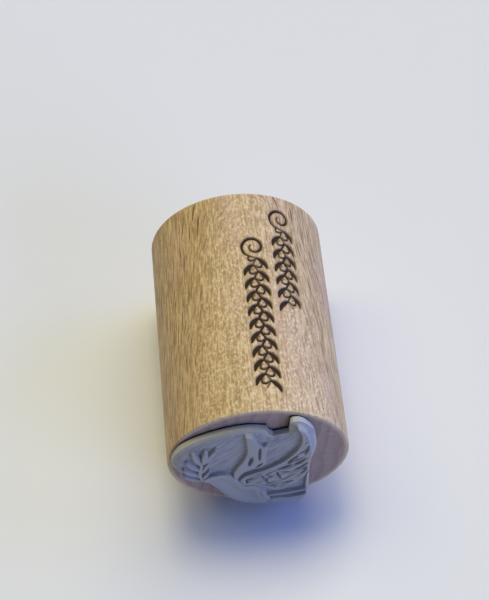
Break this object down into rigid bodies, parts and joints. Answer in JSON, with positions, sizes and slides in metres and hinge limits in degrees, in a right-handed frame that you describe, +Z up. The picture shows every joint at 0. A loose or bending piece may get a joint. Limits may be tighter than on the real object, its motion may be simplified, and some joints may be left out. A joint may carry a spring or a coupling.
{
  "type": "rubber stamp",
  "caption": "Round wooden-handled hand stamp lying on its side, with a contour-cut rubber die engraved with a flying dove and a sprig.",
  "frame": {"origin": "on the surface that the stamp lies on, under the middle of its bounding box", "axes": "+Z up; the handle's axis runs along Y, and the rubber die faces -Y; +X is to the right of someone who looks at the die"},
  "size_m": [0.03, 0.0456, 0.03],
  "materials": {
    "beech": "sanded bare beech, with a laser-burnt ornament on its side",
    "adhesive": "dark, dull adhesive film",
    "die_rubber": "matt grey laser-engraved rubber"
  },
  "bodies": {
    "root": {"handle": "beech", "adhesive_film": "adhesive", "rubber_die": "die_rubber"}
  },
  "joints": []
}
